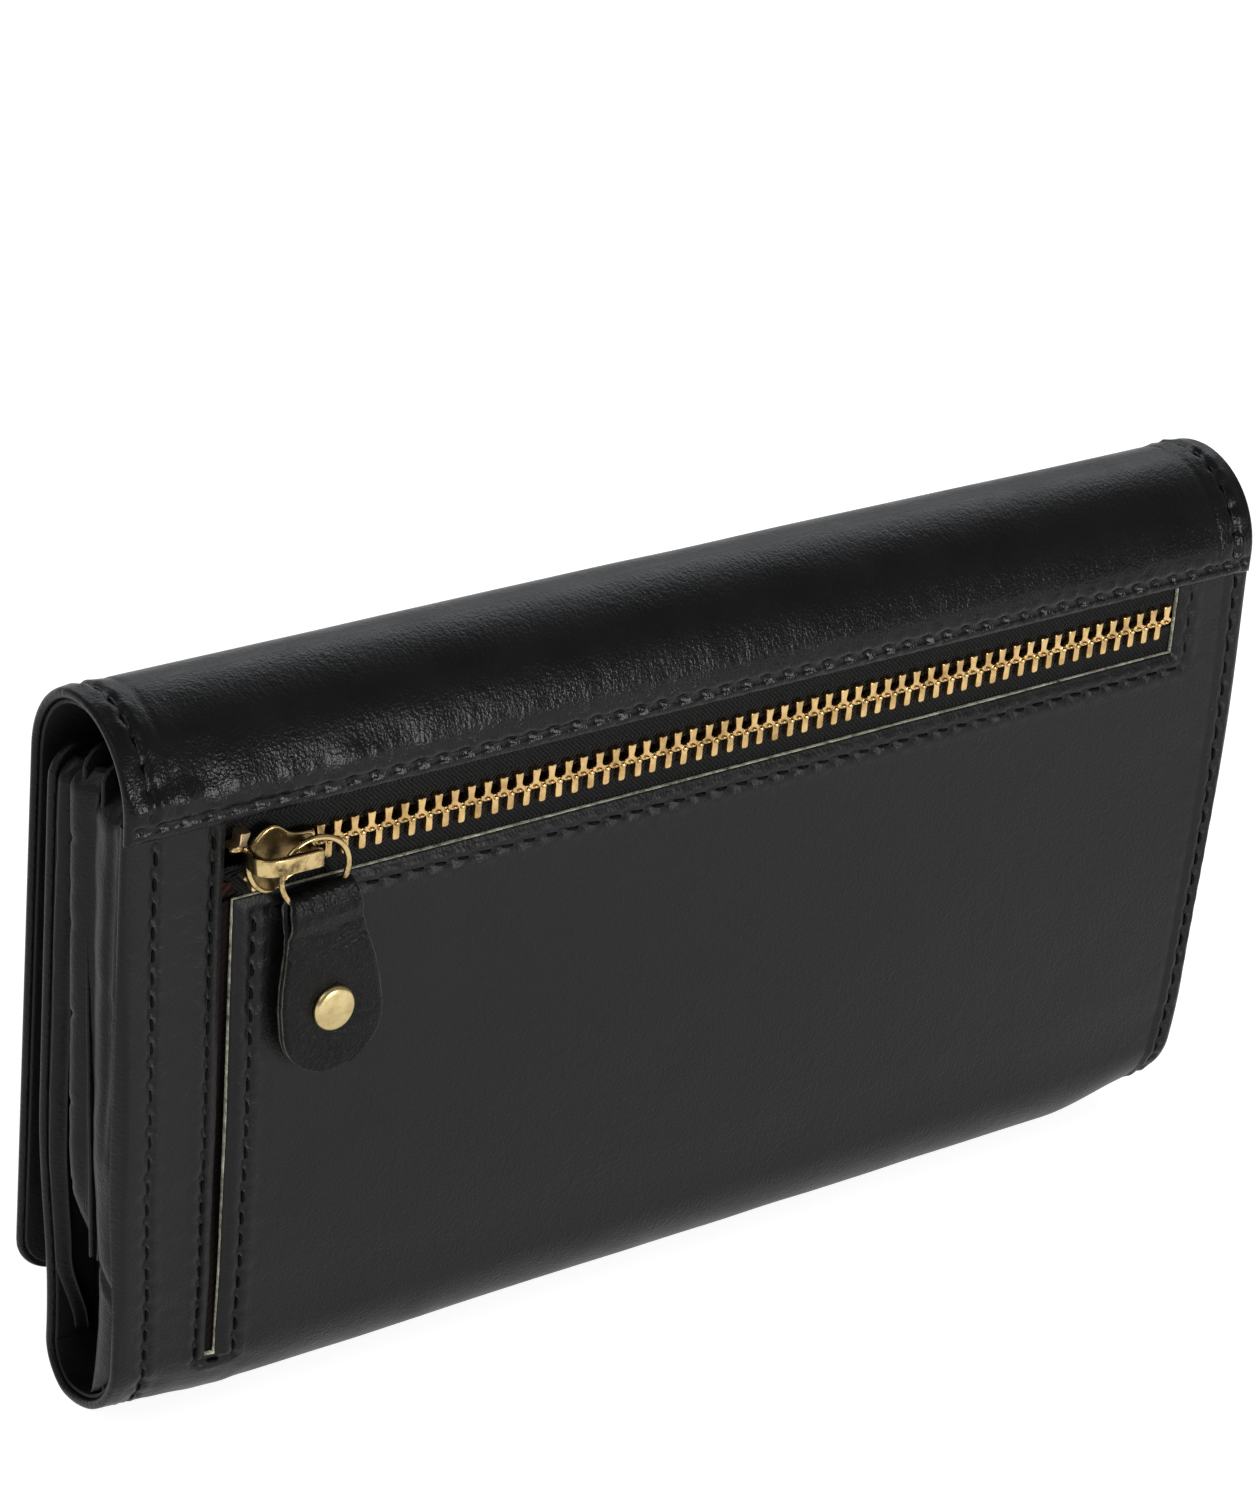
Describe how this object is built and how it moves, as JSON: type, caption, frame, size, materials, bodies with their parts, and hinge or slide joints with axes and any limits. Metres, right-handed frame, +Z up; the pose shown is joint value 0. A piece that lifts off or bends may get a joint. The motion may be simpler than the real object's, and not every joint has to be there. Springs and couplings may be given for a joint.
{
  "type": "flap-over purse",
  "caption": "Long black leather flap-over purse standing on its fold, with a metal zip pocket, ring-and-leather pull and slip pocket on the back, and card dividers inside",
  "frame": {"origin": "foot of the bounding box's middle: the purse stands on its rounded bottom fold on the plane Z = 0", "axes": "+Z up, -Y out of the zipped back, +Y out of the flap's front, +X along the zip, the way that the slider opens it"},
  "size_m": [0.19, 0.0306, 0.1109],
  "materials": {
    "leather": "black grained leather, semi-matt",
    "leather_lining": "thin black lining leather",
    "tape": "black twill zip tape",
    "teeth": "polished golden brass",
    "slider": "antique brass",
    "rivet": "satin brass",
    "cloth": "rust red lining cloth",
    "magnet": "plated steel"
  },
  "bodies": {
    "purse_body": {"back_panel": "leather", "back_lining": "leather_lining", "bottom_lining": "leather_lining", "flap_anchor": "leather", "zip_tape_upper": "tape", "zip_tape_lower": "tape", "zip_teeth_upper": "teeth", "zip_teeth_lower": "teeth", "zip_top_stops": "teeth", "zip_bottom_stop": "slider", "zip_pocket_bag": "cloth", "slip_pocket_lining": "cloth", "gusset_rear_left": "leather", "gusset_rear_right": "leather", "gusset_front_left": "leather", "gusset_front_right": "leather"},
    "flap_crown": {"crown_leather": "leather", "crown_lining": "leather_lining"},
    "flap_front": {"flap_leather": "leather", "flap_lining": "leather_lining", "flap_magnet": "magnet"},
    "front_panel": {"front_leather": "leather", "front_lining": "leather_lining", "clasp_plate": "magnet"},
    "card_divider": {"card_panel": "leather", "card_pocket_1": "leather", "card_pocket_2": "leather", "card_pocket_3": "leather"},
    "note_divider": {"note_divider": "leather"},
    "zip_slider": {"slider_body": "slider"},
    "pull_ring": {"pull_ring": "slider", "pull_tab_loop": "leather"},
    "pull_tab": {"pull_tab": "leather", "rivet_cap": "rivet", "rivet_post": "rivet"}
  },
  "joints": [
    {"name": "flap_open", "type": "hinge", "parent": "purse_body", "child": "flap_crown", "pos_m": [0, -0.00677, 0.10712], "axis": [1, 0, 0], "range_deg": [0, 90]},
    {"name": "flap_unfold", "type": "hinge", "parent": "flap_crown", "child": "flap_front", "pos_m": [0, 0.01147, 0.10712], "axis": [1, 0, 0], "range_deg": [0, 90]},
    {"name": "front_open", "type": "hinge", "parent": "purse_body", "child": "front_panel", "pos_m": [0, 0.01065, 0.0102], "axis": [-1, 0, 0], "range_deg": [0, 27]},
    {"name": "card_open", "type": "hinge", "parent": "purse_body", "child": "card_divider", "pos_m": [0, -0.00195, 0.028], "axis": [-1, 0, 0], "range_deg": [0, 13.5], "deforming": ["gusset_front_left", "gusset_front_right"]},
    {"name": "note_open", "type": "hinge", "parent": "purse_body", "child": "note_divider", "pos_m": [0, -0.00315, 0.028], "axis": [-1, 0, 0], "range_deg": [0, 6.3], "deforming": ["gusset_rear_left", "gusset_rear_right"]},
    {"name": "zip_slide", "type": "slide", "parent": "purse_body", "child": "zip_slider", "axis": [1, 0, 0], "range_m": [0, 0.14], "deforming": ["zip_teeth_upper", "zip_teeth_lower"]},
    {"name": "ring_swing", "type": "hinge", "parent": "zip_slider", "child": "pull_ring", "pos_m": [-0.07167, -0.01255, 0.0897], "axis": [-0.6693, 0, -0.743], "range_deg": [0, 60]},
    {"name": "tab_lift", "type": "hinge", "parent": "pull_ring", "child": "pull_tab", "pos_m": [-0.0661, -0.0141, 0.0793], "axis": [-1, 0, 0], "range_deg": [0, 75]}
  ],
  "couplings": [
    {"joint": "flap_unfold", "follows": "flap_open", "ratio": 1},
    {"joint": "front_open", "follows": "flap_open", "ratio": 0.3},
    {"joint": "card_open", "follows": "flap_open", "ratio": 0.15},
    {"joint": "note_open", "follows": "flap_open", "ratio": 0.07}
  ]
}
